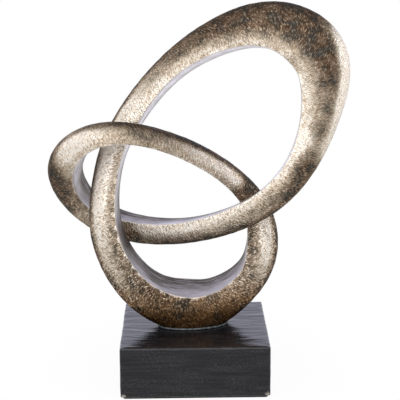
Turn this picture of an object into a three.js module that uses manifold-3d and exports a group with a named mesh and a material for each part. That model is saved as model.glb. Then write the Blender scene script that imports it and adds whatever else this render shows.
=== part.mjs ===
// Abstract knot sculpture: one endless D-section band tied as a trefoil, standing on a black block.
// The band is three castings that meet behind the crossings, each joint pinned by a steel dowel.
// Two studs and an adhesive bed hold the foot of the knot on the block, and felt covers the underside.
// Millimetres, +Z up, the front faces -Y. The origin is the middle of the felt's lower face.
import * as THREE from "three";
import { mergeVertices } from "three/addons/utils/BufferGeometryUtils.js";
import Module from "manifold-3d";

const wasm = await Module();
wasm.setup();

// Block and felt
const baseWidth = 150;
const baseDepth = 150;
const baseHeight = 52;
const baseEdgeRadius = 1.5;
const feltThickness = 1.2;
const feltInset = 3;

// Knot, as the curve through the middle of its band is set out above the block
const knotWidth = 268;
const knotHeight = 315;

// Band: the flat inner face runs front to back, and the thickness goes from it to the rounded outside
const crossingWidth = 39;
const footWidth = 63;
const footThickness = 51;
const crestWidth = 68;
const crestThickness = 58;
const bendWidth = 53;
const bendThickness = 37;
const crossingGap = 7; // clear depth between two strands where their middles cross
const sectionFullness = 2.3; // exponent of the rounded outside, where 2 is a half ellipse
const sectionSpacing = 7;
const sectionSides = 18;

// Joints between the castings
const glueLine = 0.4;
const dowelDiameter = 8;
const dowelLength = 36;
const upperJointShift = -14; // brings the upper joint down behind the strand in front of it

// Foot fixings
const fitGap = 0.3; // clearance of pieces that touch
const adhesiveThickness = 0.8;
const studDiameter = 8;
const studSpacing = 36;
const studEmbed = 20;
const studTail = 2.5;
const studBoreClearance = 0.5;
const endChamfer = 1;
const counterboreDiameter = 24;
const counterboreDepth = 16;
const washerDiameter = 16;
const washerThickness = 1.6;
const springWasherDiameter = 14.8;
const springWasherThickness = 2;
const springWasherSlot = 2.5;
const nutAcrossFlats = 13;
const nutHeight = 6.5;
const nutChamferAngle = THREE.MathUtils.degToRad(30);
const roundSides = 24;

// Levels, from the floor up
const blockBottom = feltThickness + fitGap;
const blockTop = blockBottom + baseHeight;
const seatHeight = 2 * fitGap + adhesiveThickness; // the knot's flat foot above the block

// Stations that draw the band, clockwise from the joint behind the right crossing. A smooth curve runs close
// by each of them. x and z are shares of the knot's width and height, from the middle of the block's top. lie
// is the depth in strand offsets, behind when positive. swell widens the flat face from the width at a
// crossing (0) to the full width of its loop (1), and bulk is the share of its loop's full thickness. roll,
// in degrees, turns the flat face to the front.
const loops = {
  lower: { width: footWidth, thickness: footThickness },
  upper: { width: crestWidth, thickness: crestThickness },
  left: { width: bendWidth, thickness: bendThickness },
};
const stations = [
  { name: "right_under", x: 0.254, z: 0.413, lie: 1.4, loop: "lower", swell: 0, bulk: 0.41, roll: -2 },
  { name: "right_arm", x: 0.276, z: 0.273, lie: 0.6, loop: "lower", swell: 0.25, bulk: 0.71, roll: -3 },
  { name: "right_heel", x: 0.25, z: 0.159, lie: 0.5, loop: "lower", swell: 0.6, bulk: 0.61, roll: -3 },
  { name: "right_toe", x: 0.119, z: 0.067, lie: 0.3, loop: "lower", swell: 0.9, bulk: 0.78, roll: 1 },
  { name: "foot", x: 0.011, z: 0.041, lie: 0.1, loop: "lower", swell: 1, bulk: 1, roll: 2 },
  { name: "left_toe", x: -0.108, z: 0.063, lie: -0.2, loop: "lower", swell: 0.9, bulk: 0.86, roll: 0 },
  { name: "left_heel", x: -0.24, z: 0.133, lie: -0.3, loop: "lower", swell: 0.55, bulk: 0.75, roll: 1 },
  { name: "lower_over", x: -0.355, z: 0.322, lie: -0.8, loop: "lower", swell: 0, bulk: 0.61, roll: 5 },
  { name: "left_arm", x: -0.328, z: 0.53, lie: 0, loop: "lower", swell: 0, bulk: 0.51, roll: 4 },
  { name: "upper_under", x: -0.277, z: 0.646, lie: 0.65, loop: "upper", swell: 0, bulk: 0.48, roll: 9 },
  { name: "shoulder", x: -0.086, z: 0.87, lie: 0.8, loop: "upper", swell: 0.2, bulk: 0.43, roll: 15 },
  { name: "top", x: 0.22, z: 1, lie: 0.3, loop: "upper", swell: 0.6, bulk: 0.74, roll: 11 },
  { name: "crest", x: 0.403, z: 0.962, lie: 0.05, loop: "upper", swell: 1, bulk: 0.95, roll: 1 },
  { name: "flank", x: 0.504, z: 0.867, lie: -0.25, loop: "upper", swell: 0.9, bulk: 1, roll: -4 },
  { name: "right_side", x: 0.481, z: 0.692, lie: -0.5, loop: "upper", swell: 0.6, bulk: 0.66, roll: -7 },
  { name: "elbow", x: 0.41, z: 0.53, lie: -0.8, loop: "upper", swell: 0.3, bulk: 0.5, roll: -8 },
  { name: "right_over", x: 0.254, z: 0.397, lie: -1.3, loop: "upper", swell: 0, bulk: 0.47, roll: -13 },
  { name: "span", x: -0.052, z: 0.292, lie: 0, loop: "upper", swell: 0, bulk: 0.4, roll: -8 },
  { name: "lower_under", x: -0.354, z: 0.297, lie: 2, loop: "left", swell: 0, bulk: 0.76, roll: 4 },
  { name: "low_bend", x: -0.48, z: 0.435, lie: 0.75, loop: "left", swell: 0.6, bulk: 0.7, roll: 12 },
  { name: "bend", x: -0.496, z: 0.54, lie: 0, loop: "left", swell: 1, bulk: 1, roll: 6 },
  { name: "brow", x: -0.431, z: 0.629, lie: -0.95, loop: "left", swell: 0.5, bulk: 0.7, roll: 0 },
  { name: "upper_over", x: -0.269, z: 0.691, lie: -2, loop: "left", swell: 0, bulk: 0.46, roll: -2 },
  { name: "bridge", x: 0.019, z: 0.59, lie: 0, loop: "left", swell: 0, bulk: 0.49, roll: -2 },
];

// Finishes
const paintedResin = { color: 0x8f7a5c, roughness: 0.42, metalness: 0.55 };
const blackResin = { color: 0x2b2a2d, roughness: 0.6, metalness: 0 };
const zincSteel = { color: 0xa9adb0, roughness: 0.35, metalness: 1 };
const greyAdhesive = { color: 0x9a9c98, roughness: 0.5, metalness: 0 };
const blackFelt = { color: 0x17171a, roughness: 1, metalness: 0 };

// Solids and booleans

function toSolid(geometry) {
  const bare = geometry.clone();
  bare.deleteAttribute("normal");
  bare.deleteAttribute("uv");
  const merged = mergeVertices(bare, 1e-4);
  const vertProperties = new Float32Array(merged.attributes.position.array);
  const triVerts = new Uint32Array(merged.index.array);
  return new wasm.Manifold(new wasm.Mesh({ numProp: 3, vertProperties, triVerts }));
}

function toGeometry(solid) {
  const { vertProperties, triVerts } = solid.getMesh();
  const geometry = new THREE.BufferGeometry();
  geometry.setAttribute("position", new THREE.BufferAttribute(new Float32Array(vertProperties), 3));
  geometry.setIndex(new THREE.BufferAttribute(new Uint32Array(triVerts), 1));
  geometry.computeVertexNormals();
  return geometry;
}

function cut(geometry, cutters) {
  return toGeometry(cutters.reduce((body, cutter) => body.subtract(toSolid(cutter)), toSolid(geometry)));
}

function common(a, b) {
  return toGeometry(toSolid(a).intersect(toSolid(b)));
}

function addPiece(group, name, geometry, finish, position = new THREE.Vector3()) {
  const mesh = new THREE.Mesh(geometry, new THREE.MeshStandardMaterial(finish));
  mesh.name = name;
  mesh.position.copy(position);
  group.add(mesh);
  return mesh;
}

// Upright rod with chamfered ends, its lower end at the origin
function rod(diameter, length, chamfer = endChamfer) {
  const radius = diameter / 2;
  const profile = [
    [0, 0],
    [radius - chamfer, 0],
    [radius, chamfer],
    [radius, length - chamfer],
    [radius - chamfer, length],
    [0, length],
  ].map(([r, z]) => new THREE.Vector2(r, z));
  return new THREE.LatheGeometry(profile, roundSides).rotateX(Math.PI / 2);
}

// Upright cylinder between two levels
function drill(diameter, bottom, top, x = 0, y = 0) {
  const length = top - bottom;
  const geometry = new THREE.CylinderGeometry(diameter / 2, diameter / 2, length, roundSides);
  return geometry.rotateX(Math.PI / 2).translate(x, y, bottom + length / 2);
}

// The endless band

const strandOffset = (crossingWidth + crossingGap) / 2;
const stepsPerStation = 100;

// Closed cubic spline drawn by control points, smooth in direction and in curvature
class ClosedSpline extends THREE.Curve {
  constructor(points) {
    super();
    this.points = points;
  }

  getPoint(t, target = new THREE.Vector3()) {
    const count = this.points.length;
    const first = Math.floor(t * count);
    const f = t * count - first;
    const pulls = [(1 - f) ** 3, 3 * f ** 3 - 6 * f ** 2 + 4, -3 * f ** 3 + 3 * f ** 2 + 3 * f + 1, f ** 3];
    target.set(0, 0, 0);
    pulls.forEach((pull, k) => {
      target.addScaledVector(this.points[(first + k + count - 1) % count], pull / 6);
    });
    return target;
  }
}

const path = new ClosedSpline(
  stations.map(({ x, z, lie }) => new THREE.Vector3(x * knotWidth, lie * strandOffset, z * knotHeight)),
);
const sizes = new ClosedSpline(
  stations.map(({ loop, swell, bulk, roll }) => {
    const width = crossingWidth + swell * (loops[loop].width - crossingWidth);
    return new THREE.Vector3(bulk * loops[loop].thickness, width, THREE.MathUtils.degToRad(roll));
  }),
);
path.arcLengthDivisions = stations.length * stepsPerStation;
const lengthAlong = path.getLengths();
const bandLength = path.getLength();

function stationIndex(name) {
  return stations.findIndex((station) => station.name === name);
}

function lengthAt(name) {
  return lengthAlong[stationIndex(name) * stepsPerStation];
}

// Where the band is at a length along it: its middle, its direction, and the axes of its section.
// inward points out of the flat face, and across runs from the front edge to the back edge.
function bandAt(length) {
  const t = path.getUtoTmapping(length / bandLength);
  const step = 1 / path.arcLengthDivisions;
  const ahead = path.getPoint((t + step) % 1);
  const behind = path.getPoint((t - step + 1) % 1);
  const along = ahead.sub(behind).normalize();
  const level = new THREE.Vector3(along.z, 0, -along.x).normalize();
  const back = new THREE.Vector3().crossVectors(along, level);
  const { x: thickness, y: width, z: roll } = sizes.getPoint(t);
  const inward = level.clone().multiplyScalar(Math.cos(roll)).addScaledVector(back, -Math.sin(roll));
  const across = back.clone().multiplyScalar(Math.cos(roll)).addScaledVector(level, Math.sin(roll));
  return { middle: path.getPoint(t), along, inward, across, thickness, width };
}

// The D-section at a length along the band, from the back edge over the rounded outside to the front edge
function sectionAt(length) {
  const { middle, inward, across, thickness, width } = bandAt(length);
  const power = 2 / sectionFullness;
  return Array.from({ length: sectionSides + 1 }, (_, i) => {
    const angle = (i / sectionSides) * Math.PI;
    const outward = thickness * (Math.sin(angle) ** power - 0.5);
    const sideways = (width / 2) * Math.sign(Math.cos(angle)) * Math.abs(Math.cos(angle)) ** power;
    return middle.clone().addScaledVector(inward, -outward).addScaledVector(across, sideways);
  });
}

// Loft of D-sections between two lengths along the band, closed by a flat cap at each end
function bandBetween(start, end) {
  const steps = Math.ceil((end - start) / sectionSpacing);
  const rings = Array.from({ length: steps + 1 }, (_, i) => sectionAt(start + ((end - start) * i) / steps));
  const sides = sectionSides + 1;
  const index = [];
  for (let ring = 0; ring < steps; ring++) {
    for (let side = 0; side < sides; side++) {
      const a = ring * sides + side;
      const b = ring * sides + ((side + 1) % sides);
      index.push(a, b, a + sides, b, b + sides, a + sides);
    }
  }
  const last = steps * sides;
  for (let side = 1; side < sides - 1; side++) {
    index.push(0, side + 1, side, last, last + side, last + side + 1);
  }
  const geometry = new THREE.BufferGeometry();
  geometry.setAttribute(
    "position",
    new THREE.Float32BufferAttribute(rings.flat().flatMap((point) => point.toArray()), 3),
  );
  geometry.setIndex(index);
  return geometry;
}

// Where the castings meet, as lengths along the band
const jointLengths = {
  right: lengthAt("right_under"),
  upper: lengthAt("upper_under") + upperJointShift,
  lower: lengthAt("lower_under"),
};

// The place of a joint in the band: its Z runs along the band, its X out of the flat face
function jointPlace(side) {
  const { middle, along, inward, across } = bandAt(jointLengths[side]);
  return new THREE.Matrix4().makeBasis(inward, across, along).setPosition(middle);
}

// The two blind bores that one dowel fills, one in each casting
function dowelBore(side) {
  const half = dowelLength / 2 + fitGap;
  return drill(dowelDiameter + 2 * fitGap, -half, half).applyMatrix4(jointPlace(side));
}

// The band from one joint to the next
function casting(from, to) {
  const start = jointLengths[from] + glueLine / 2;
  const end = (to === "right" ? bandLength : jointLengths[to]) - glueLine / 2;
  return bandBetween(start, end);
}

// Foot fixings, in the knot's frame, whose origin is the middle of the block's top

const foot = bandAt(lengthAt("foot"));
const footRun = new THREE.Vector3(foot.along.x, foot.along.y, 0).normalize();
const studPlaces = {
  left: foot.middle.clone().addScaledVector(footRun, studSpacing / 2),
  right: foot.middle.clone().addScaledVector(footRun, -studSpacing / 2),
};
const studBore = studDiameter + 2 * studBoreClearance;

function studHoles(bottom, top) {
  return Object.values(studPlaces).map(({ x, y }) => drill(studBore, bottom, top, x, y));
}

// A slab as large as the block, between two levels
function slab(bottom, top) {
  return new THREE.BoxGeometry(baseWidth, baseDepth, top - bottom).translate(0, 0, (top + bottom) / 2);
}

function buildKnot(group) {
  const sides = Object.keys(jointLengths);
  const footCasting = casting("right", "upper");
  const bores = sides.map(dowelBore);
  const belowSeat = slab(-baseHeight, seatHeight);
  const sockets = studHoles(0, seatHeight + studEmbed + fitGap);
  addPiece(group, "lower_loop", cut(footCasting, [belowSeat, ...sockets, ...bores]), paintedResin);
  addPiece(group, "upper_loop", cut(casting("upper", "lower"), bores), paintedResin);
  addPiece(group, "left_loop", cut(casting("lower", "right"), bores), paintedResin);

  const bed = common(footCasting, slab(fitGap, fitGap + adhesiveThickness));
  addPiece(group, "foot_adhesive", cut(bed, studHoles(0, seatHeight)), greyAdhesive);

  for (const side of sides) {
    const dowel = rod(dowelDiameter, dowelLength).translate(0, 0, -dowelLength / 2);
    addPiece(group, `${side}_joint_dowel`, dowel, zincSteel).applyMatrix4(jointPlace(side));
  }
}

// Block, with a stepped bore for each stud

function roundedRectangle(width, depth, radius) {
  const x = width / 2;
  const y = depth / 2;
  const shape = new THREE.Shape();
  shape.moveTo(-x + radius, -y);
  shape.lineTo(x - radius, -y);
  shape.absarc(x - radius, -y + radius, radius, -Math.PI / 2, 0);
  shape.absarc(x - radius, y - radius, radius, 0, Math.PI / 2);
  shape.absarc(-x + radius, y - radius, radius, Math.PI / 2, Math.PI);
  shape.absarc(-x + radius, -y + radius, radius, Math.PI, 1.5 * Math.PI);
  return shape;
}

function blockGeometry() {
  const shape = roundedRectangle(baseWidth, baseDepth, 2 * baseEdgeRadius);
  const block = new THREE.ExtrudeGeometry(shape, {
    depth: baseHeight - 2 * baseEdgeRadius,
    bevelThickness: baseEdgeRadius,
    bevelSize: baseEdgeRadius,
    bevelOffset: -baseEdgeRadius,
    bevelSegments: 3,
    curveSegments: 4,
  }).translate(0, 0, baseEdgeRadius);
  const wells = Object.values(studPlaces).map(({ x, y }) =>
    drill(counterboreDiameter, -fitGap, counterboreDepth, x, y),
  );
  return cut(block, [...wells, ...studHoles(0, baseHeight + fitGap)]);
}

function feltGeometry() {
  const shape = roundedRectangle(baseWidth - 2 * feltInset, baseDepth - 2 * feltInset, feltInset);
  return new THREE.ExtrudeGeometry(shape, { depth: feltThickness, bevelEnabled: false, curveSegments: 4 });
}

// Fasteners, each with its lower face at the origin

function washerGeometry() {
  const shape = new THREE.Shape().absarc(0, 0, washerDiameter / 2, 0, 2 * Math.PI);
  shape.holes.push(new THREE.Path().absarc(0, 0, studBore / 2, 0, 2 * Math.PI, true));
  return new THREE.ExtrudeGeometry(shape, {
    depth: washerThickness,
    bevelEnabled: false,
    curveSegments: roundSides / 2,
  });
}

function springWasherGeometry() {
  const outer = springWasherDiameter / 2;
  const halfSlot = springWasherSlot / springWasherDiameter;
  const shape = new THREE.Shape();
  shape.absarc(0, 0, outer, halfSlot, 2 * Math.PI - halfSlot);
  shape.absarc(0, 0, studBore / 2, 2 * Math.PI - halfSlot, halfSlot, true);
  return new THREE.ExtrudeGeometry(shape, {
    depth: springWasherThickness,
    bevelEnabled: false,
    curveSegments: roundSides / 2,
  });
}

function nutGeometry() {
  const inscribed = nutAcrossFlats / 2;
  const corner = inscribed / Math.cos(Math.PI / 6);
  const drop = (corner - inscribed) * Math.tan(nutChamferAngle);
  const prism = new THREE.CylinderGeometry(corner, corner, nutHeight, 6)
    .rotateX(Math.PI / 2)
    .translate(0, 0, nutHeight / 2);
  const turned = new THREE.LatheGeometry(
    [
      [0, 0],
      [inscribed, 0],
      [corner + fitGap, drop],
      [corner + fitGap, nutHeight - drop],
      [inscribed, nutHeight],
      [0, nutHeight],
    ].map(([r, z]) => new THREE.Vector2(r, z)),
    roundSides,
  ).rotateX(Math.PI / 2);
  return cut(common(prism, turned), [drill(studDiameter + 2 * fitGap, -fitGap, nutHeight + fitGap)]);
}

function buildBase(group) {
  addPiece(group, "base_felt", feltGeometry(), blackFelt);
  addPiece(group, "base_block", blockGeometry(), blackResin, new THREE.Vector3(0, 0, blockBottom));

  const washerLevel = blockBottom + counterboreDepth - fitGap - washerThickness;
  const springLevel = washerLevel - fitGap - springWasherThickness;
  const nutLevel = springLevel - fitGap - nutHeight;
  const studBottom = nutLevel - studTail;
  const studLength = blockTop + seatHeight + studEmbed - studBottom;
  for (const [side, { x, y }] of Object.entries(studPlaces)) {
    const at = (z) => new THREE.Vector3(x, y, z);
    addPiece(group, `${side}_stud`, rod(studDiameter, studLength), zincSteel, at(studBottom));
    addPiece(group, `${side}_washer`, washerGeometry(), zincSteel, at(washerLevel));
    addPiece(group, `${side}_spring_washer`, springWasherGeometry(), zincSteel, at(springLevel));
    addPiece(group, `${side}_nut`, nutGeometry(), zincSteel, at(nutLevel));
  }
}

const sculpture = new THREE.Group();
const base = new THREE.Group();
const knot = new THREE.Group();
knot.position.z = blockTop;
buildBase(base);
buildKnot(knot);
sculpture.add(base, knot);

export default sculpture;
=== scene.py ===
import math

import bmesh
import bpy
import numpy as np
from mathutils import Matrix, Vector, noise


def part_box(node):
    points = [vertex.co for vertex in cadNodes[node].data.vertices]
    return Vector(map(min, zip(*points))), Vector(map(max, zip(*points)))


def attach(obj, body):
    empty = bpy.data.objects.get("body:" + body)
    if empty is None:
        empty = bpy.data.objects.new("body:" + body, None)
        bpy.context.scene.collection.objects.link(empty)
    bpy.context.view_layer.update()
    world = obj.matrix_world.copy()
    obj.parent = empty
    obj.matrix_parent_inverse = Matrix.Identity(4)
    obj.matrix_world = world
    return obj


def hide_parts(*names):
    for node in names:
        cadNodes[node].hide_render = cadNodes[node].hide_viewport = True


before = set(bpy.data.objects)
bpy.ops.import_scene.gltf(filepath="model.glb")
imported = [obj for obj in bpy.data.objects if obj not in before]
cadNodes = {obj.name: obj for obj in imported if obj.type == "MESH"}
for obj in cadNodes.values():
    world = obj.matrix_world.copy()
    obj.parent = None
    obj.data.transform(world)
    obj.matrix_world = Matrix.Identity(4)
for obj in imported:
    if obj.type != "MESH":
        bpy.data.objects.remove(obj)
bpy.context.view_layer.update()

scene = bpy.context.scene
scene.view_settings.view_transform = "Standard"
mm = 0.001  # in metres
print("frame loaded:", len(cadNodes), "nodes")


def linear(hexColour):  # sRGB hex to the linear colour that a socket takes
    parts = [int(hexColour[i:i + 2], 16) / 255 for i in (1, 3, 5)]
    return tuple(c / 12.92 if c <= 0.04045 else ((c + 0.055) / 1.055) ** 2.4 for c in parts) + (1.0,)


def addNode(tree, kind, inputs=None, **settings):  # one node with its settings, values and links
    made = tree.nodes.new("ShaderNode" + kind)
    for name, value in settings.items():
        setattr(made, name, value)
    for socket, value in (inputs or {}).items():
        if isinstance(value, bpy.types.NodeSocket):
            tree.links.new(value, made.inputs[socket])
        else:
            made.inputs[socket].default_value = value
    return made


def addMath(tree, operation, *values, clamp=False):
    return addNode(tree, "Math", dict(enumerate(values)), operation=operation, use_clamp=clamp).outputs[0]


def addMix(tree, share, first, second, mode="MIX"):  # share 0 gives the first colour
    return addNode(
        tree, "Mix", {0: share, 6: first, 7: second}, data_type="RGBA", blend_type=mode
    ).outputs[2]


def addRange(tree, value, fromRange, toRange, easing="LINEAR"):  # carried over from one range to another
    (fromMin, fromMax), (toMin, toMax) = fromRange, toRange
    return addNode(
        tree, "MapRange",
        {"Value": value, "From Min": fromMin, "From Max": fromMax, "To Min": toMin, "To Max": toMax},
        interpolation_type=easing,
    ).outputs[0]


def addNoise(tree, place, size, **inputs):  # marks of one size in mm, or of a size along each axis
    sizes = size if isinstance(size, tuple) else 3 * (size,)
    scale = (*(1 / (side * mm) for side in sizes), 1.0)[:3]
    stretched = addNode(tree, "VectorMath", {0: place, 1: scale}, operation="MULTIPLY").outputs[0]
    return addNode(tree, "TexNoise", {"Vector": stretched, "Scale": 1.0, **inputs}).outputs


def addBump(tree, height, look):
    return addNode(
        tree, "Bump", {"Height": height, "Strength": look["bite"], "Distance": look["relief"] * mm}
    ).outputs[0]


def addSurface(tree, inputs):
    shader = addNode(tree, "BsdfPrincipled", inputs).outputs[0]
    addNode(tree, "OutputMaterial", {"Surface": shader})


def emptyTree(owner):
    owner.use_nodes = True
    owner.node_tree.nodes.clear()
    return owner.node_tree


def newMaterial(name):
    material = bpy.data.materials.new(name)
    return material, emptyTree(material)


# Camera, at the height and slant that the block's edges in the photograph give
photoCamera = {
    "place": (-9.9, -1248.5, 474.6),  # mm
    "pitch": 13.04,  # degrees down
    "yaw": 0.77,  # degrees to the right
    "roll": -0.46,  # degrees
    "lens": 113.4,  # mm
    "sensor": 36.0,  # mm
}


def addCamera(settings):
    pitch, yaw, roll = (math.radians(settings[k]) for k in ("pitch", "yaw", "roll"))
    ahead = Vector((math.sin(yaw) * math.cos(pitch), math.cos(yaw) * math.cos(pitch), -math.sin(pitch)))
    right = Vector((math.cos(yaw), -math.sin(yaw), 0))
    up = right.cross(ahead)
    turn = Matrix((
        math.cos(roll) * right + math.sin(roll) * up,
        math.cos(roll) * up - math.sin(roll) * right,
        -ahead,
    )).transposed().to_4x4()
    turn.translation = Vector(settings["place"]) * mm
    camera = bpy.data.objects.new("photoCamera", bpy.data.cameras.new("photoCamera"))
    camera.data.lens = settings["lens"]
    camera.data.sensor_width = settings["sensor"]
    camera.matrix_world = turn
    scene.collection.objects.link(camera)
    scene.camera = camera


addCamera(photoCamera)
print("camera placed")

# Metal leaf on the rounded outside of the band. A pair of ranges is what is read and what it becomes.
leafLook = {
    "stroke": (1.3, 4.4),  # mm wide and long: bristle marks in the ground under the leaf
    "hatch": (-35, 25),  # degrees from straight across the band that the two coats were brushed
    "bend": (14.0, 5.0),  # mm: how far apart the marks change direction, and how far they stray
    "patch": 12.0,  # mm: sheets of leaf of one tone
    "patchFrom": (40.0, 0.0, 10.0),  # mm: where their pattern starts
    "blotch": (16.0, 3.6),  # mm along and across the band: thicker and thinner wash
    "fleck": (1.2, 4.0),  # mm wide and long: specks where the wash was dabbed off
    "dab": (2.2, 6.5),  # mm wide and long: broader dabs low down
    "fade": (110.0, 250.0),  # mm above the table between which the coarser marks fade
    "coarse": 1.6,  # strength of the marks below that
    "goldFoot": (70.0, 115.0),  # mm above the table between which the warm gold near the foot fades
    "mottle": 0.35,  # wash that the blotches move
    "patchy": 0.7,  # share of the wash that the patches add or take away
    "fleckEdge": (0.5, 0.6),  # noise over which a speck begins
    "wiped": 0.42,  # share of the wash that is dabbed off in specks
    "clump": ((0.35, 0.65), (0.5, 1.5)),  # blotch to strength of the specks
    "dabEdge": (0.55, 0.64),  # noise over which a broad dab begins
    "dabbed": 0.75,  # share of the wash that a broad dab takes off
    "groove": (0.36, 0.42),  # height up to which wash stays in a groove
    "filled": 0.17,  # wash left in the grooves of bare leaf
    "goldShare": ((0.4, 0.75), (0.0, 0.32)),  # blotch to share of gold
    "pewterShare": ((0.5, 0.65), (0.0, 0.42)),  # patch to share of pewter
    "copperShare": ((0.52, 0.38), (0.0, 0.3)),  # patch to share of copper
    "metallic": (0.85, 0.7),  # bare to thick
    "matt": ((-0.8, 0.0), (0.2, 0.85)),  # wash below nothing, where the leaf is rubbed dull, to metallic
    "roughness": (0.32, 0.45),  # bare to thick
    "relief": 0.75,  # mm
    "bite": 1.0,  # strength of the relief
    "champagne": "#e4ddd2",
    "gold": "#c9a070",
    "pewter": "#9da5a8",
    "slate": "#50585a",
    "copper": "#6e4f38",
    "rub": "#e6dfd6",
    "edge": "#cbc4bc",
    "washAndPaintedShade": ((0.0, "#ffffff"), (0.25, "#c2baaf"), (0.55, "#857b70"), (1.0, "#483c33")),  # bare to thick
}


def leafedResin(look):
    # Champagne metal leaf on bristle-stippled cast resin, antiqued with an umber wash that was wiped back.
    # The eye gets short glinting strokes with brown between them, and more brown where the wash was left and
    # where shade is painted in.
    material, tree = newMaterial("leafedResin")
    onBand = addNode(tree, "UVMap", uv_map="bandUv").outputs[0]
    inRoom = addNode(tree, "TexCoord").outputs["Object"]
    high = addNode(tree, "SeparateXYZ", {0: inRoom}).outputs["Z"]
    # per point: wash and painted shade, set by the station table
    washAndPaintedShade = addNode(tree, "Attribute", attribute_name="washAndPaintedShade").outputs["Fac"]
    rub = addNode(tree, "Attribute", attribute_name="rub").outputs["Fac"]

    # Two coats of short brush marks at a slant to each other, each of them curved
    bendSize, stray = look["bend"]
    swirl = addNoise(tree, inRoom, bendSize, Detail=1.0)["Color"]
    bent = addNode(
        tree, "VectorMath", {0: swirl, 1: (stray * mm, stray * mm, 0.0), 2: onBand}, operation="MULTIPLY_ADD"
    ).outputs[0]
    coats = []
    for angle in look["hatch"]:
        slanted = addNode(
            tree, "VectorRotate", {"Vector": bent, "Angle": math.radians(angle)}, rotation_type="Z_AXIS"
        ).outputs[0]
        coats.append(addNoise(tree, slanted, look["stroke"], Detail=1.0)["Fac"])
    grooves = addMath(tree, "MINIMUM", *coats)
    height = addMath(tree, "ADD", *coats)

    # Wash and painted shade as the per-point values lay them on, uneven by patches and blotches
    patchFrom = tuple(shift * mm for shift in look["patchFrom"])
    patchPlace = addNode(tree, "VectorMath", {0: inRoom, 1: patchFrom}).outputs[0]
    patch = addNoise(tree, patchPlace, look["patch"], Detail=3.0)["Fac"]
    blotch = addNoise(tree, bent, look["blotch"], Detail=3.0)["Fac"]
    fade = tuple(limit * mm for limit in look["fade"])
    below = addRange(tree, high, fade, (1.0, 0.0))
    coarse = addRange(tree, high, fade, (look["coarse"], 1.0))
    mottle = addMath(tree, "MULTIPLY_ADD", blotch, look["mottle"], -look["mottle"] / 2)
    patchy = addRange(tree, patch, (0.0, 1.0), (-look["patchy"], look["patchy"]))
    pushed = addMath(tree, "MULTIPLY", patchy, coarse)
    washedAndShaded = addNode(tree, "Clamp", {0: washAndPaintedShade}).outputs[0]
    uneven = addMath(tree, "MULTIPLY_ADD", pushed, washedAndShaded, mottle)
    laid = addMath(tree, "MINIMUM", washAndPaintedShade, 1.0)
    coat = addMath(tree, "ADD", laid, uneven, clamp=True)

    # Wash as it was wiped: dabbed off along the last coat's marks, left in the grooves even of clean leaf
    flecks = addNoise(tree, slanted, look["fleck"], Detail=1.0)["Fac"]
    specks = addRange(tree, flecks, look["fleckEdge"], (0.0, -look["wiped"]))
    clumps = addRange(tree, blotch, *look["clump"])
    clumped = addMath(tree, "MULTIPLY", clumps, coarse)
    speckled = addMath(tree, "MULTIPLY", specks, clumped)
    dabs = addNoise(tree, slanted, look["dab"], Detail=2.0)["Fac"]
    broad = addRange(tree, dabs, look["dabEdge"], (0.0, -look["dabbed"]))
    broadBelow = addMath(tree, "MULTIPLY", broad, below)
    lifted = addMath(tree, "MINIMUM", speckled, broadBelow)
    wiped = addMath(tree, "ADD", lifted, 1.0)
    filled = addRange(tree, grooves, look["groove"], (look["filled"], 0.0))
    filling = addMath(tree, "MULTIPLY", filled, coarse)
    remaining = addMath(tree, "MULTIPLY_ADD", coat, wiped, filling)
    # wash and painted shade, which the colour, shine and roughness follow
    stainAndShade = addMath(tree, "SUBTRACT", remaining, rub, clamp=True)

    # Champagne leaf turning gold and pewter, under a brown to slate glaze with copper in it; the glaze is
    # wash and painted shade
    golden = addRange(tree, blotch, *look["goldShare"])
    footGold = addRange(tree, high, tuple(limit * mm for limit in look["goldFoot"]), (1.0, 0.0))
    goldShare = addMath(tree, "MAXIMUM", golden, footGold)
    warmLeaf = addMix(tree, goldShare, linear(look["champagne"]), linear(look["gold"]))
    cool = addRange(tree, patch, *look["pewterShare"])
    pewterShare = addMath(tree, "MULTIPLY", cool, coat)
    leaf = addMix(tree, pewterShare, warmLeaf, linear(look["pewter"]))
    ramp = addNode(tree, "ValToRGB", {0: stainAndShade})
    for share, _ in look["washAndPaintedShade"][1:-1]:
        ramp.color_ramp.elements.new(share)
    for stop, (share, tint) in zip(ramp.color_ramp.elements, look["washAndPaintedShade"]):
        stop.position = share
        stop.color = linear(tint)
    slateShare = addMath(tree, "MULTIPLY", pewterShare, stainAndShade)
    glaze = addMix(tree, slateShare, ramp.outputs[0], linear(look["slate"]))
    glazed = addMix(tree, 1.0, leaf, glaze, "MULTIPLY")
    coppery = addRange(tree, patch, *look["copperShare"])
    stainedCopper = addMath(tree, "MULTIPLY", coppery, stainAndShade)
    copperShare = addMath(tree, "MULTIPLY", stainedCopper, coarse)
    antiqued = addMix(tree, copperShare, glazed, linear(look["copper"]))
    shine = addRange(tree, stainAndShade, (0.0, 1.0), look["metallic"])
    matt = addRange(tree, washAndPaintedShade, *look["matt"])
    addSurface(tree, {
        "Base Color": addMix(tree, rub, antiqued, linear(look["rub"])),
        "Metallic": addMath(tree, "MINIMUM", shine, matt),
        "Roughness": addRange(tree, stainAndShade, (0.0, 1.0), look["roughness"]),
        "Normal": addBump(tree, height, look),
        "Specular Tint": addMix(tree, 1.0, glaze, linear(look["edge"]), "MULTIPLY"),
    })
    return material


# Pewter paint on the flat inside of the band
faceLook = {
    "stroke": (40.0, 3.0),  # mm along and across the band: brush lines, drawn coarse enough to show
    "cloud": 14.0,  # mm: paler and darker places
    "cloudShare": 0.4,  # of the clouds in the tone, beside the lines
    "tone": ((0.56, 0.78), (0.0, 1.0)),  # noise to share of pewter in the shade
    "streak": ((0.35, 0.65), (-0.6, 0.6)),  # noise to share of the wash and painted shade that lies in the lines
    "metallic": 0.7,
    "roughness": 0.36,
    "relief": 0.12,  # mm
    "bite": 0.5,  # strength of the relief
    "pewter": "#f3f0f7",
    "shade": "#c4c0c4",
    "rub": "#dcd5d2",
    # brown of the wash film, also the painted shade on the lower loop's face
    "filmAndPaintedShade": "#6a6250",
}


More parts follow.
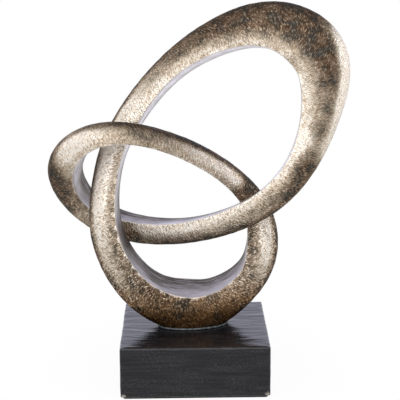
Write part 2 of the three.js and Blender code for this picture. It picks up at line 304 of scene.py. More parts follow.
def brushedPewter(look):
    # Metallic pewter paint brushed along the flat face: lavender grey, with fine lines that follow the band
    # and a brown film between them that is wash and painted shade, darkest on the lower loop's face.
    material, tree = newMaterial("brushedPewter")
    onBand = addNode(tree, "UVMap", uv_map="bandUv").outputs[0]
    inRoom = addNode(tree, "TexCoord").outputs["Object"]
    # per point: wash and painted shade
    washAndPaintedShade = addNode(tree, "Attribute", attribute_name="washAndPaintedShade").outputs["Fac"]
    rub = addNode(tree, "Attribute", attribute_name="rub").outputs["Fac"]
    lines = addNoise(tree, onBand, look["stroke"], Detail=4.0, Roughness=0.7)["Fac"]
    cloud = addNoise(tree, inRoom, look["cloud"], Detail=3.0)["Fac"]
    tone = addMath(tree, "MULTIPLY_ADD", cloud, look["cloudShare"], lines)
    paleShare = addRange(tree, tone, *look["tone"])
    paint = addMix(tree, paleShare, linear(look["shade"]), linear(look["pewter"]))
    washedAndShaded = addNode(tree, "Clamp", {0: washAndPaintedShade}).outputs[0]
    streaks = addRange(tree, lines, *look["streak"])
    # share of the brown film: wash and painted shade, heavier in the lines
    filmAndShadeShare = addMath(tree, "MULTIPLY_ADD", streaks, washedAndShaded, washedAndShaded, clamp=True)
    filmedAndShaded = addMix(tree, filmAndShadeShare, paint, linear(look["filmAndPaintedShade"]), "MULTIPLY")
    colour = addMix(tree, rub, filmedAndShaded, linear(look["rub"]))
    addSurface(tree, {
        "Base Color": colour,
        "Metallic": look["metallic"],
        "Roughness": look["roughness"],
        "Normal": addBump(tree, lines, look),
        "Specular Tint": colour,
    })
    return material


# The endless band. Its path is set out from the middle of the block's top, lengths are in mm.
knotBand = {
    "knotWidth": 268.0,
    "knotHeight": 315.0,
    "crossingWidth": 39.0,
    "crossingGap": 7.0,  # clear between two strands that cross
    "loopWidth": {"lower": 63.0, "upper": 68.0, "left": 53.0},
    "loopThickness": {"lower": 51.0, "upper": 58.0, "left": 37.0},
    "fullness": 2.3,  # exponent of the rounded outside
    "blockTop": 53.5,
    "seat": 1.4,  # flat foot above the block
    "glueLine": 0.4,
    "upperJointShift": -14.0,  # joint past the station upperUnder
    "ringStep": 1.4,  # between sections
    "outsidePoints": 60,  # of one section
    "facePoints": 22,
    "edgePoints": 3,
    "edgeRadius": 1.4,
    "handWave": (45.0, 0.45, (0.0, 0.0, 0.0)),  # across one swell, its depth, and where the pattern starts
    "dent": (7.0, 0.5, (7.3, 0.0, 0.0)),
    "tooth": (3.2, 0.12, (14.6, 0.0, 0.0)),
    "rubWidth": 2.0,  # worn beside the edges of the flat face
    "rubFull": 0.1,  # from the edge, worn right through
    "rubRagged": (5.0, (3.1, 8.7, 0.0)),  # size of the wear's tongues, and where their pattern starts
    "rubShare": (0.6, 0.2),  # of that width in the middle, and at least
    "rubbedBare": 0.8,  # share of the wash that the wear takes off
    "washZones": (0.1, 0.5, 0.9),  # shares of the way from the flat face to the rim
    "faceShadeTowardsBack": 0.38,  # wash and painted shade: darker towards the back edge of the flat face than towards the front
    "smearsAndPaintedShade": (  # wash left or wiped off by hand, and painted shade at two crossings: station, mm past it, mm to either side, amount
        # painted shade at the right crossing, where the bridge passes behind the span
        ("rightUnder", -10.0, 20.0, 1.4),
        # painted shade at the span's left end, where it passes behind the left arm
        ("lowerUnder", -30.0, 18.0, 1.0),
        ("rightSide", 30.0, 22.0, -0.4),
    ),
}
# Name, shares of the knot's width and height, lie in depth, loop, swell of the width, share of the loop's
# thickness, roll in degrees, and how much wash and painted shade lies on the flat face, beside it, half way
# out and at the rim. Painted shade darkens the crossings, the lower loop's flat face and the left heel's
# outer side;
# values below nothing at the right-hand rims, the brow and the bridge are painted highlights that leave the
# leaf bare.
stations = [
    ("rightUnder", 0.254, 0.413, 1.4, "lower", 0, 0.41, -2, 0.5, 0.4, -0.1, 0.8),
    ("rightArm", 0.276, 0.273, 0.6, "lower", 0.25, 0.71, -3, 0.6, 0.8, -0.35, 1.3),
    ("rightHeel", 0.25, 0.159, 0.5, "lower", 0.6, 0.61, -3, 0.7, 0.65, 0.4, 0.95),
    ("rightToe", 0.119, 0.067, 0.3, "lower", 0.9, 0.78, 1, 0.7, 0.45, 0.85, 1.1),
    ("foot", 0.011, 0.041, 0.1, "lower", 1, 1, 2, 0.65, 0.6, 0.65, 0.85),
    ("leftToe", -0.108, 0.063, -0.2, "lower", 0.9, 0.86, 0, 0.8, 0.7, 0.7, 0.75),
    ("leftHeel", -0.24, 0.133, -0.3, "lower", 0.55, 0.75, 1, 0.88, 1.1, 0.45, 1.7),
    ("lowerOver", -0.355, 0.322, -0.8, "lower", 0, 0.61, 5, 0.7, 0.5, 0.05, 0.85),
    ("leftArm", -0.328, 0.53, 0, "lower", 0, 0.51, 4, 0.25, 0.35, -0.8, 0.75),
    ("upperUnder", -0.277, 0.646, 0.65, "upper", 0, 0.48, 9, 0, 0.05, -0.5, 0.9),
    ("shoulder", -0.086, 0.87, 0.8, "upper", 0.2, 0.43, 15, 0, 0.1, 0.7, 0.8),
    ("top", 0.22, 1, 0.3, "upper", 0.6, 0.74, 11, 0, 0.25, 1.25, 1.1),
    ("crest", 0.403, 0.962, 0.05, "upper", 1, 0.95, 1, 0, 0.25, 1.25, 1.9),
    ("flank", 0.504, 0.867, -0.25, "upper", 0.9, 1, -4, 0.1, 0.2, 1.3, -1.9),
    ("rightSide", 0.481, 0.692, -0.5, "upper", 0.6, 0.66, -7, 0.1, 0.1, 0.15, -0.9),
    ("elbow", 0.41, 0.53, -0.8, "upper", 0.3, 0.5, -8, 0.1, 0.1, 1.4, 1.05),
    ("rightOver", 0.254, 0.397, -1.3, "upper", 0, 0.47, -13, 0.3, 0.2, 0.15, 0.9),
    ("span", -0.052, 0.292, 0, "upper", 0, 0.4, -8, 0.6, -0.3, 0.5, 1.3),
    ("lowerUnder", -0.354, 0.297, 2, "left", 0, 0.76, 4, 0.8, -0.4, 0, 0.9),
    ("lowBend", -0.48, 0.435, 0.75, "left", 0.6, 0.7, 12, 0.92, 0.6, 0.6, 0.55),
    ("bend", -0.496, 0.54, 0, "left", 1, 1, 6, 0.35, 0.85, 2.0, 1.3),
    ("brow", -0.431, 0.629, -0.95, "left", 0.5, 0.7, 0, 0.35, -0.1, -1.4, -0.1),
    ("upperOver", -0.269, 0.691, -2, "left", 0, 0.46, -2, 0.25, 0.55, 1.15, 1.2),
    ("bridge", 0.019, 0.59, 0, "left", 0, 0.49, -2, 0.1, 0.15, -0.25, 1.1),
]
stationNames = [station[0] for station in stations]
stepsPerStation = 100  # by which lengths along the band are measured


def splineAt(controls, t):  # closed cubic spline, smooth in direction and in curvature
    count = len(controls)
    first = np.floor(t * count).astype(int)
    f = (t * count - first)[:, None]
    pulls = ((1 - f) ** 3, 3 * f ** 3 - 6 * f ** 2 + 4, -3 * f ** 3 + 3 * f ** 2 + 3 * f + 1, f ** 3)
    return sum(pull * controls[(first + k - 1) % count] for k, pull in enumerate(pulls)) / 6


def unit(vectors):
    return vectors / np.linalg.norm(vectors, axis=-1, keepdims=True)


strandOffset = (knotBand["crossingWidth"] + knotBand["crossingGap"]) / 2
pathControls = np.array([
    (x * knotBand["knotWidth"], lie * strandOffset, z * knotBand["knotHeight"])
    for _, x, z, lie, *_ in stations
])
sizeControls = np.array([
    (bulk * knotBand["loopThickness"][loop],
     knotBand["crossingWidth"] + swell * (knotBand["loopWidth"][loop] - knotBand["crossingWidth"]),
     math.radians(roll), *washAndPaintedShade)
    for _, _, _, _, loop, swell, bulk, roll, *washAndPaintedShade in stations
])
pathSteps = np.arange(len(stations) * stepsPerStation + 1) / (len(stations) * stepsPerStation)
pathPoints = splineAt(pathControls, pathSteps)
lengthAlong = np.concatenate(([0], np.cumsum(np.linalg.norm(np.diff(pathPoints, axis=0), axis=1))))
bandLength = lengthAlong[-1]


def lengthAt(name):
    return lengthAlong[stationNames.index(name) * stepsPerStation]


def bandAt(lengths):  # middle, axes and sizes of the band at lengths along it
    t = np.interp(lengths, lengthAlong, pathSteps)
    step = pathSteps[1]
    along = unit(splineAt(pathControls, t + step) - splineAt(pathControls, t - step))
    level = unit(np.stack((along[:, 2], 0 * t, -along[:, 0]), axis=1))
    back = np.cross(along, level)
    sizes = splineAt(sizeControls, t)
    cos, sin = np.cos(sizes[:, 2:3]), np.sin(sizes[:, 2:3])
    return {
        "middle": splineAt(pathControls, t) + (0, 0, knotBand["blockTop"]),
        "inward": cos * level - sin * back,
        "across": cos * back + sin * level,
        "thickness": sizes[:, 0:1],
        "width": sizes[:, 1:2],
        "washAndPaintedShade": sizes[:, 3:7],
    }


def sectionAt(band, settings):  # D-section from the back edge over the outside to the front edge and back
    power = 2 / settings["fullness"]
    thickness, width, radius = band["thickness"], band["width"], settings["edgeRadius"]
    turn = np.arange(settings["edgePoints"]) / settings["edgePoints"] * math.pi / 2
    firstAngle = np.arcsin((radius / thickness) ** (1 / power))
    share = np.linspace(0, 1, settings["outsidePoints"])[None, :]
    angle = firstAngle + (math.pi - 2 * firstAngle) * share
    outsideOut = thickness * (np.sin(angle) ** power - 0.5)
    outsideSide = width / 2 * np.sign(np.cos(angle)) * np.abs(np.cos(angle)) ** power
    edgeOut = radius - thickness / 2 - radius * np.cos(turn)[None, :]
    edgeSide = width / 2 - radius + radius * np.sin(turn)[None, :]
    faceShare = np.linspace(-1, 1, settings["facePoints"])[None, :]
    faceSide = faceShare[:, 1:-1] * (width / 2 - radius)
    outward = np.hstack((edgeOut, outsideOut, edgeOut[:, ::-1], 0 * faceSide - thickness / 2))
    sideways = np.hstack((edgeSide, outsideSide, -edgeSide[:, ::-1], faceSide))
    return outward, sideways


def sectionPoints(band, outward, sideways):
    return (
        band["middle"][:, None, :]
        - outward[:, :, None] * band["inward"][:, None, :]
        + sideways[:, :, None] * band["across"][:, None, :]
    )


def noiseAt(points, size, start):  # one smooth random value for each point, from -1 to 1
    shift = Vector(start)
    values = [noise.noise(Vector(p) / size + shift) for p in points.reshape(-1, 3)]
    return np.array(values).reshape(points.shape[:-1])


def cutAt(points, size, depth, start):  # mm that uneven handwork cuts in, from none to the depth
    return depth / 2 * (1 + noiseAt(points, size, start))


def smoothStep(value, low, high):
    x = np.clip((value - low) / (high - low), 0, 1)
    return x * x * (3 - 2 * x)


def addPiece(name, points, faces, materials, replaced):
    mesh = bpy.data.meshes.new(name)
    mesh.from_pydata([tuple(p) for p in points], [], faces)
    for material in materials:
        mesh.materials.append(material)
    mesh.polygons.foreach_set("use_smooth", [True] * len(mesh.polygons))
    piece = bpy.data.objects.new(name, mesh)
    scene.collection.objects.link(piece)
    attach(piece, "root")
    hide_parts(replaced)
    return piece


def setValues(mesh, label, values):  # one value for each point, read by the materials
    attribute = mesh.attributes.new(label, "FLOAT", "POINT")
    attribute.data.foreach_set("value", values.astype(np.float32).ravel())


def addCasting(name, replaced, start, end, materials, settings):
    rings = math.ceil((end - start) / settings["ringStep"]) + 1
    lengths = np.linspace(start, end, rings)
    band = bandAt(lengths)
    outward, sideways = sectionAt(band, settings)
    points = sectionPoints(band, outward, sideways)
    sides = outward.shape[1]
    around = np.roll(points, -1, axis=1) - np.roll(points, 1, axis=1)
    normals = unit(np.cross(np.gradient(points, axis=0), around))
    if np.sum(normals * band["inward"][:, None, :] * outward[:, :, None]) > 0:
        normals = -normals

    outsideFrom = settings["edgePoints"]
    outsideTo = outsideFrom + settings["outsidePoints"]
    onFace = np.zeros(sides, bool)
    onFace[outsideTo + settings["edgePoints"]:] = True

    # Hand-worked surface, only ever cut inwards, and its flat foot
    wave = cutAt(points, *settings["handWave"])
    for mark in ("dent", "tooth"):
        wave = wave + cutAt(points, *settings[mark]) * ~onFace
    points = points - wave[:, :, None] * normals
    seat = settings["blockTop"] + settings["seat"]
    points[:, :, 2] = np.maximum(points[:, :, 2], seat)

    # Wear beside the edges of the flat face
    halfWidth = band["width"] / 2
    edgeDistance = np.where(onFace, halfWidth - np.abs(sideways), outward + band["thickness"] / 2)
    middleShare, leastShare = settings["rubShare"]
    ragged = middleShare + noiseAt(points, *settings["rubRagged"])
    rubbed = settings["rubWidth"] * np.maximum(ragged, leastShare)
    rub = settings["rubbedBare"] * (1 - smoothStep(edgeDistance, settings["rubFull"], rubbed))

    # Wash and painted shade in zones from the flat face out to the rim, by lengths measured round the section
    # from the rim
    steps = np.linalg.norm(np.diff(points, axis=1, append=points[:, :1]), axis=2)
    rimIndex = (outsideFrom + outsideTo) // 2
    run = np.cumsum(steps, axis=1) - steps
    arc = run - run[:, rimIndex:rimIndex + 1]
    longest = np.abs(arc[:, outsideFrom:outsideTo]).max(axis=1, keepdims=True)
    wayOut = 1 - np.abs(arc) / longest
    onFlat, byFace, halfWay, atRim = (band["washAndPaintedShade"][:, k:k + 1] for k in range(4))
    near, half, far = settings["washZones"]
    washAndPaintedShade = (
        byFace
        + (halfWay - byFace) * smoothStep(wayOut, near, half)
        + (atRim - halfWay) * smoothStep(wayOut, half, far)
    )
    # wash and painted shade smeared along the band at the listed stations
    for station, shift, reach, amount in settings["smearsAndPaintedShade"]:
        past = np.abs(lengths - lengthAt(station) - shift)
        away = np.minimum(past, bandLength - past)
        washAndPaintedShade = washAndPaintedShade + amount * (1 - smoothStep(away, 0, reach))[:, None]
    # flat face: wash and painted shade, darker towards its back edge
    washAndPaintedShade = np.where(onFace, onFlat + settings["faceShadeTowardsBack"] * sideways / halfWidth, washAndPaintedShade)

    faces = []
    faceKind = []  # which of the materials: 0 leaf, 1 pewter
    for ring in range(rings - 1):
        for side in range(sides):
            nextSide = (side + 1) % sides
            a, b = ring * sides + side, ring * sides + nextSide
            faces.append((a, b, b + sides, a + sides))
            faceKind.append(int(onFace[side] or (onFace[nextSide] and side > outsideTo)))
    last = (rings - 1) * sides
    faces.append(tuple(range(sides - 1, -1, -1)))
    faces.append(tuple(range(last, last + sides)))
    faceKind += [0, 0]
    piece = addPiece(name, points.reshape(-1, 3) * mm, faces, materials, replaced)
    mesh = piece.data
    mesh.polygons.foreach_set("material_index", faceKind)
    for cap in (-1, -2):
        mesh.polygons[cap].use_smooth = False
    setValues(mesh, "washAndPaintedShade", washAndPaintedShade)
    setValues(mesh, "rub", rub)

    # Lengths along and across the band, in metres, for patterns that follow it
    alongBand = np.broadcast_to(lengths[:, None], arc.shape)
    onOutside, onInside = (
        np.stack((alongBand, acrossBand), axis=2).reshape(-1, 2) * mm for acrossBand in (arc, sideways)
    )
    corners = np.zeros(len(mesh.loops), np.int32)
    mesh.loops.foreach_get("vertex_index", corners)
    kinds = np.repeat(faceKind, [len(face) for face in faces])
    places = np.where(kinds[:, None] == 1, onInside[corners], onOutside[corners])
    mesh.uv_layers.new(name="bandUv").data.foreach_set("uv", places.astype(np.float32).ravel())
    mesh.validate()


leafMaterial = leafedResin(leafLook)
pewterMaterial = brushedPewter(faceLook)
upperJoint = lengthAt("upperUnder") + knotBand["upperJointShift"]
lowerJoint = lengthAt("lowerUnder")
halfGlue = knotBand["glueLine"] / 2
for name, node, start, end in (
    ("lowerLoop", "lower_loop", 0, upperJoint),
    ("upperLoop", "upper_loop", upperJoint, lowerJoint),
    ("leftLoop", "left_loop", lowerJoint, bandLength),
):
    addCasting(name, node, start + halfGlue, end - halfGlue, (leafMaterial, pewterMaterial), knotBand)
print("band modelled in three castings")

# Black paint on the block
blockLook = {
    "stroke": (55.0, 2.4, 2.4),  # mm: brush marks run across the block
    "sweep": (45.0, 11.0, 16.0),  # mm: slow swells left by a loaded brush
    "grain": 1.5,  # mm: specks of dust in the paint
    "strokeTone": ((0.4, 0.7), (0.0, 0.28)),  # noise to share of the worn colour
    "dust": ((0.5, 0.75), (0.0, 0.45)),  # noise to share of the worn colour
    "cloudy": ((0.4, 0.6), (0.3, 1.5)),  # sweep to strength of the dust
    "roughness": ((0.3, 0.7), (0.22, 0.12)),  # sweep to roughness
    "grainHeight": 0.15,  # beside strokes of 1
    "sweepHeight": 6.0,  # beside strokes of 1
    "relief": 0.18,  # mm
    "bite": 0.6,  # strength of the relief
    "specular": 0.28,
    "paint": "#0b0b0e",
    "worn": "#3e3e41",
    "resin": "#8d8880",
}


def satinBlackPaint(look):
    # Satin black paint brushed over cast resin: charcoal with faint level strokes, dusty, and paler where the
    # edges are worn.
    material, tree = newMaterial("satinBlackPaint")
    inRoom = addNode(tree, "TexCoord").outputs["Object"]
    worn = addNode(tree, "Attribute", attribute_name="worn").outputs["Fac"]
    chipped = addNode(tree, "Attribute", attribute_name="chipped").outputs["Fac"]
    strokes = addNoise(tree, inRoom, look["stroke"], Detail=5.0, Roughness=0.6)["Fac"]
    grain = addNoise(tree, inRoom, look["grain"], Detail=2.0)["Fac"]
    sweeps = addNoise(tree, inRoom, look["sweep"], Detail=2.0, Distortion=0.6)["Fac"]
    tone = addRange(tree, strokes, *look["strokeTone"])
    dust = addRange(tree, grain, *look["dust"])
    cloudy = addRange(tree, sweeps, *look["cloudy"])
    dusty = addMath(tree, "MULTIPLY_ADD", dust, cloudy, tone)
    wear = addMath(tree, "MAXIMUM", worn, dusty)
    paint = addMix(tree, wear, linear(look["paint"]), linear(look["worn"]))
    fine = addMath(tree, "MULTIPLY_ADD", grain, look["grainHeight"], strokes)
    height = addMath(tree, "MULTIPLY_ADD", sweeps, look["sweepHeight"], fine)
    addSurface(tree, {
        "Base Color": addMix(tree, chipped, paint, linear(look["resin"])),
        "Roughness": addRange(tree, sweeps, *look["roughness"]),
        "Specular IOR Level": look["specular"],
        "Normal": addBump(tree, height, look),
    })
    return material


# The block's form, in mm
blackBlock = {
    "edgeRadius": 1.8,
    "edgeOffsets": (0.0, 0.5, 1.1, 1.8, 2.8, 4.4, 6.6),  # grid lines from each edge
    "gridStep": 3.0,
    "weld": 0.01,  # points nearer than this are one
    "handWave": (38.0, 0.5, (1.7, 0.0, 4.0)),  # across one swell, its depth, and where the pattern starts
    "nibble": (6.0, 0.55, (0.0, 5.2, 0.0)),
    "nibbleReach": (0.5, 5.0),  # from an edge, where nibbles are full and where they end
    "flatInset": 3.0,  # from an edge, past which the underside is flat
    "wornWidth": 2.2,
    "wornFull": 0.2,  # from an edge, worn right through
    "wornRagged": (4.0, (2.0, 2.0, 0.0)),  # size of the wear's tongues, and where their pattern starts
    "wornBare": 0.75,  # share of the worn colour there
    "chips": (  # x, y, z from the block's lowest corner, and radius
        (3.0, 0.0, 1.5, 3.0),
        (147.0, 0.0, 2.5, 2.8),
        (150.0, 4.0, 30.0, 1.8),
    ),
    "chipDepth": 0.7,
    "chipBowl": (0.3, 1.0),  # shares of the radius between which a chip runs out
    "chipBare": (0.55, 0.8),  # shares of the radius between which bare resin turns to paint
    "chipRagged": (2.0, (9.0, 0.0, 0.0)),
    "chipUneven": 0.35,  # share of the radius
}


def addBlock(settings):
    low, high = (np.array(corner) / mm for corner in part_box("base_block"))
    middle, half = (low + high) / 2, (high - low) / 2
    radius = settings["edgeRadius"]
    offsets = np.array(settings["edgeOffsets"])
    lines = []
    for size in half:
        count = math.ceil((2 * size - 2 * offsets[-1]) / settings["gridStep"])
        inside = np.linspace(-size + offsets[-1], size - offsets[-1], count + 1)
        lines.append(np.concatenate((-size + offsets[:-1], inside, size - offsets[:-1][::-1])))
    form = bmesh.new()
    for axis in range(3):
        a, b = lines[(axis + 1) % 3], lines[(axis + 2) % 3]
        for side in (-1, 1):
            grid = []
            for u in a:
                row = []
                for v in b:
                    place = [0, 0, 0]
                    place[axis], place[(axis + 1) % 3], place[(axis + 2) % 3] = side * half[axis], u, v
                    row.append(form.verts.new(place))
                grid.append(row)
            for i in range(len(a) - 1):
                for j in range(len(b) - 1):
                    quad = [grid[i][j], grid[i + 1][j], grid[i + 1][j + 1], grid[i][j + 1]]
                    form.faces.new(quad if side > 0 else quad[::-1])
    bmesh.ops.remove_doubles(form, verts=form.verts, dist=settings["weld"])

    # Uneven, nibbled and chipped surface, only ever cut inwards
    cube = np.array([v.co for v in form.verts])
    core = np.clip(cube, -(half - radius), half - radius)
    outward = unit(cube - core)
    fromEdges = np.sort(half - np.abs(cube), axis=1)[:, 1]
    nearEdge = 1 - smoothStep(fromEdges, *settings["nibbleReach"])
    cutIn = cutAt(cube, *settings["handWave"]) + nearEdge * cutAt(cube, *settings["nibble"])
    uneven = settings["chipUneven"] * noiseAt(cube, *settings["chipRagged"])
    chipped = np.zeros(len(cube))
    for x, y, z, size in settings["chips"]:
        far = np.linalg.norm(cube + half - (x, y, z), axis=1) / size + uneven
        chipped = np.maximum(chipped, 1 - smoothStep(far, *settings["chipBare"]))
        cutIn = cutIn + settings["chipDepth"] * (1 - smoothStep(far, *settings["chipBowl"]))
    bottom = cube[:, 2] < -half[2] + settings["weld"]
    cutIn = np.where(bottom & (fromEdges > settings["flatInset"]), 0, cutIn)
    wornTo = settings["wornWidth"] * (1 + noiseAt(cube, *settings["wornRagged"]))
    worn = settings["wornBare"] * (1 - smoothStep(fromEdges, settings["wornFull"], wornTo))
    shaped = core + (radius - cutIn)[:, None] * outward + middle

    form.verts.index_update()
    faces = [[v.index for v in face.verts] for face in form.faces]
    form.free()
    paint = satinBlackPaint(blockLook)
    piece = addPiece("blackBlock", shaped * mm, faces, (paint,), "base_block")
    setValues(piece.data, "worn", worn)
    setValues(piece.data, "chipped", chipped)


addBlock(blackBlock)
print("block modelled")

adhesiveLook = {
    "grain": 4.0,  # mm
    "tone": ((0.4, 0.6), (0.0, 1.0)),  # noise to share of grey in the dark
    "roughness": 0.4,
    "relief": 0.3,  # mm
    "bite": 0.4,  # strength of the relief
    "grey": "#62686b",
    "dark": "#25282a",
}


def greyEpoxy(look):
    # Cured grey epoxy: mid grey with dark patches, slightly glossy and lumpy.
    material, tree = newMaterial("greyEpoxy")
    inRoom = addNode(tree, "TexCoord").outputs["Object"]
    lumps = addNoise(tree, inRoom, look["grain"], Detail=3.0)["Fac"]
    greyShare = addRange(tree, lumps, *look["tone"])
    addSurface(tree, {
        "Base Color": addMix(tree, greyShare, linear(look["dark"]), linear(look["grey"])),
        "Roughness": look["roughness"],
        "Normal": addBump(tree, lumps, look),
    })
    return material


# Adhesive bed, squeezed out a little round the foot, in mm
adhesiveBead = {
    "angles": 180,
    "outlineStep": 1.0,  # between the sections that the foot's outline is read from
    "bottom": 0.3,  # above the block
    "top": 2.1,  # above the block
    "squeeze": (1.1, 0.6),  # how far it stands out from under the foot, and how much that varies
    "lump": (5.0, (4.0, 1.0, 0.0)),  # size of a lump, and where their pattern starts
    "bulge": (1.1, 0.4),  # share of the squeeze where it is widest, and height above the bottom
    "shoulder": (0.8, 0.3, 1.1),  # share of the squeeze, share of the way to the top, height above the bottom
    "tuck": 0.1,  # how far its edges go in under the band
    "inset": 2.0,  # how far its upper side reaches in under the foot
}


def footOutline(height, step):  # where the band's outside is at a height above the block, seen from above
    lengths = np.arange(lengthAt("rightHeel"), lengthAt("leftHeel"), step)
    band = bandAt(lengths)
    points = sectionPoints(band, *sectionAt(band, knotBand))
    above = points[:, :, 2] - knotBand["blockTop"] - height
    ring, side = np.nonzero((above[:, :-1] > 0) != (above[:, 1:] > 0))
    share = above[ring, side] / (above[ring, side] - above[ring, side + 1])
    return points[ring, side] + share[:, None] * (points[ring, side + 1] - points[ring, side])


def addBead(settings):
    contact = footOutline(knotBand["seat"], settings["outlineStep"])
    centre = contact[:, :2].mean(axis=0)
    count = settings["angles"]
    angles = np.arange(count) / count * 2 * math.pi
    turned = np.stack((np.cos(angles), np.sin(angles)), axis=1)

    def radiusAt(height):
        spokes = footOutline(height, settings["outlineStep"])[:, :2] - centre
        turns = np.arctan2(spokes[:, 1], spokes[:, 0])
        order = np.argsort(turns)
        reach = np.linalg.norm(spokes, axis=1)
        return np.interp(angles, turns[order], reach[order], period=2 * math.pi)

    foot, top = radiusAt(knotBand["seat"]), radiusAt(settings["top"])
    rim = np.column_stack((turned * foot[:, None], 0 * angles))
    out, vary = settings["squeeze"]
    squeeze = out + vary * noiseAt(rim, *settings["lump"])
    bottom = knotBand["blockTop"] + settings["bottom"]
    inner = knotBand["blockTop"] + knotBand["seat"] - settings["tuck"]
    bulge, bulgeHeight = settings["bulge"]
    shoulder, toTop, shoulderHeight = settings["shoulder"]
    rings = [
        (foot + squeeze, bottom),
        (foot + squeeze * bulge, bottom + bulgeHeight),
        (foot + squeeze * shoulder + toTop * (top - foot), bottom + shoulderHeight),
        (top - settings["tuck"], knotBand["blockTop"] + settings["top"]),
        (foot - settings["inset"], inner),
    ]
    loops = [
        np.column_stack((centre + turned * radius[:, None], np.full(count, z))) for radius, z in rings
    ]
    points = np.vstack(loops + [[(*centre, bottom)], [(*centre, inner)]])
    last = (len(rings) - 1) * count
    faces = []
    for k in range(len(rings) - 1):
        for i in range(count):
            j = (i + 1) % count
            faces.append((k * count + i, k * count + j, (k + 1) * count + j, (k + 1) * count + i))
    for i in range(count):
        j = (i + 1) % count
        faces.append((j, i, len(points) - 2))
        faces.append((last + i, last + j, len(points) - 1))
    epoxy = greyEpoxy(adhesiveLook)
    addPiece("adhesiveBead", points * mm, faces, (epoxy,), "foot_adhesive")


addBead(adhesiveBead)
print("adhesive modelled")

feltLook = {
    "hair": 0.6,  # mm: fibres, drawn coarser than real ones so that they show
    "roughness": 0.95,
    "sheen": 0.3,
    "relief": 0.3,  # mm
    "bite": 0.8,  # strength of the relief
    "black": "#141416",
    "fibre": "#2e2e32",
}


def pressedFelt(look):
    # Pressed wool felt: dull black, with a nap of short crossed fibres.
    material, tree = newMaterial("pressedFelt")
    inRoom = addNode(tree, "TexCoord").outputs["Object"]
    fibres = addNoise(tree, inRoom, look["hair"], Detail=4.0, Distortion=2.0)["Fac"]
    addSurface(tree, {
        "Base Color": addMix(tree, fibres, linear(look["black"]), linear(look["fibre"])),
        "Roughness": look["roughness"],
        "Sheen Weight": look["sheen"],
        "Normal": addBump(tree, fibres, look),
    })
    return material


zincLook = {
    "spangle": 2.5,  # mm
    "roughness": (0.28, 0.45),  # bright to dull
    "zinc": "#b3b6b8",
    "dull": "#7f8386",
}


def zincPlatedSteel(look):
    # Bright zinc plate on turned steel: cool silver with dull spangles.
    material, tree = newMaterial("zincPlatedSteel")
    inRoom = addNode(tree, "TexCoord").outputs["Object"]
    spangle = addNoise(tree, inRoom, look["spangle"], Detail=3.0)["Fac"]
    addSurface(tree, {
        "Base Color": addMix(tree, spangle, linear(look["dull"]), linear(look["zinc"])),
        "Metallic": 1.0,
        "Roughness": addRange(tree, spangle, (0.0, 1.0), look["roughness"]),
    })
    return material


def dressNodes(material, names):
    for name in names:
        mesh = cadNodes[name].data
        mesh.materials.clear()
        mesh.materials.append(material)


fasteners = [name for name in cadNodes if name.endswith(("_dowel", "_stud", "_washer", "_nut"))]
dressNodes(pressedFelt(feltLook), ["base_felt"])
dressNodes(zincPlatedSteel(zincLook), fasteners)
print("felt and", len(fasteners), "fasteners dressed")

# White studio: floor, room and lamps. The room's limits are parts of a direction of length 1.
studio = {
    "floorRadius": 30.0,  # m
    "floorSides": 64,
    "paper": "#f0f0f0",
    "shadowShare": 0.06,  # of the lit paper that the camera sees close to the block, white for the rest
    "shadowReach": (0.11, 0.3),  # m from the block's middle between which that fades out
    "tint": ("#f6f5fa", "#e7e8fb"),  # towards the front and the back
    "upward": (0.05, 0.75),  # where the room turns from its horizon to its ceiling
    "horizon": 1.0,  # brightness
    "ceiling": 0.3,
    "aside": (0.45, 0.9),  # where the screens begin and are full
    "flags": 0.7,  # dark screens to the left and right
    "behind": (0.2, 0.9),  # where the backdrop begins and is full
    "backdrop": 1.8,  # times as bright behind the object
}


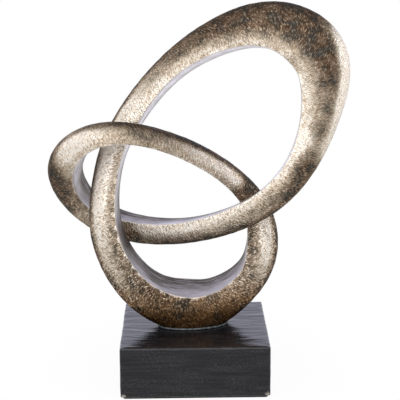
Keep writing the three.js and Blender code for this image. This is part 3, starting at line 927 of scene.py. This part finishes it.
def addFloor(settings):
    form = bmesh.new()
    bmesh.ops.create_circle(
        form, cap_ends=True, segments=settings["floorSides"], radius=settings["floorRadius"]
    )
    mesh = bpy.data.meshes.new("studioFloor")
    form.to_mesh(mesh)
    form.free()
    floor = bpy.data.objects.new("studioFloor", mesh)
    scene.collection.objects.link(floor)
    material, tree = newMaterial("whitePaper")
    inRoom = addNode(tree, "TexCoord").outputs["Object"]
    distance = addNode(tree, "VectorMath", {0: inRoom}, operation="LENGTH").outputs["Value"]
    share = addRange(
        tree, distance, settings["shadowReach"], (settings["shadowShare"], 0.0), "SMOOTHSTEP"
    )
    paper = addNode(tree, "BsdfDiffuse", {"Color": linear(settings["paper"])}).outputs[0]
    white = addNode(tree, "Emission", {"Color": (1, 1, 1, 1), "Strength": 1.0}).outputs[0]
    seen = addNode(tree, "MixShader", {0: share, 1: white, 2: paper}).outputs[0]
    rays = addNode(tree, "LightPath").outputs
    cameraOrGlossy = addMath(tree, "MAXIMUM", rays["Is Camera Ray"], rays["Is Glossy Ray"])
    direct = addMath(tree, "MAXIMUM", cameraOrGlossy, rays["Is Transmission Ray"])
    mixed = addNode(tree, "MixShader", {0: direct, 1: paper, 2: seen}).outputs[0]
    addNode(tree, "OutputMaterial", {"Surface": mixed})
    mesh.materials.append(material)


def addRoom(settings):
    world = bpy.data.worlds.new("studioRoom")
    scene.world = world
    tree = emptyTree(world)
    direction = addNode(tree, "TexCoord").outputs["Generated"]
    parts = addNode(tree, "SeparateXYZ", {0: direction}).outputs
    brightness = (settings["horizon"], settings["ceiling"])
    level = addRange(tree, parts["Z"], settings["upward"], brightness, "SMOOTHSTEP")
    aside = addMath(tree, "ABSOLUTE", parts["X"])
    screened = addRange(tree, aside, settings["aside"], (1.0, settings["flags"]), "SMOOTHSTEP")
    behind = addRange(tree, parts["Y"], settings["behind"], (0.0, 1.0))
    lifted = addRange(tree, behind, (0.0, 1.0), (1.0, settings["backdrop"]))
    flagged = addMath(tree, "MULTIPLY", level, screened)
    strength = addMath(tree, "MULTIPLY", flagged, lifted)
    front, back = (linear(tint) for tint in settings["tint"])
    tint = addMix(tree, behind, front, back)
    sky = addNode(tree, "Background", {"Color": tint, "Strength": strength}).outputs[0]
    addNode(tree, "OutputWorld", {"Surface": sky})


softboxes = (  # name, place, aimed at, width and height in m, watts
    ("frontSoftbox", (-0.1, -1.7, 1.2), (0, 0, 0.2), (3.4, 2.6), 44.0),
    ("overheadSoftbox", (0.1, -0.3, 2.1), (0, 0, 0.2), (2.4, 2.0), 15.0),
    ("leftSoftbox", (-1.5, 0.4, 1.2), (0, 0, 0.22), (1.4, 1.4), 8.5),
    ("rightSoftbox", (1.5, 0.4, 0.6), (0.1, 0, 0.25), (0.8, 1.2), 5.0),
)


def addSoftbox(name, place, target, size, watts):
    data = bpy.data.lights.new(name, "AREA")
    data.shape = "RECTANGLE"
    data.size, data.size_y = size
    data.energy = watts
    lamp = bpy.data.objects.new(name, data)
    lamp.location = place
    lamp.rotation_euler = (Vector(target) - Vector(place)).to_track_quat("-Z", "Y").to_euler()
    lamp.visible_camera = False
    scene.collection.objects.link(lamp)


addFloor(studio)
addRoom(studio)
for softbox in softboxes:
    addSoftbox(*softbox)
print("studio lit")
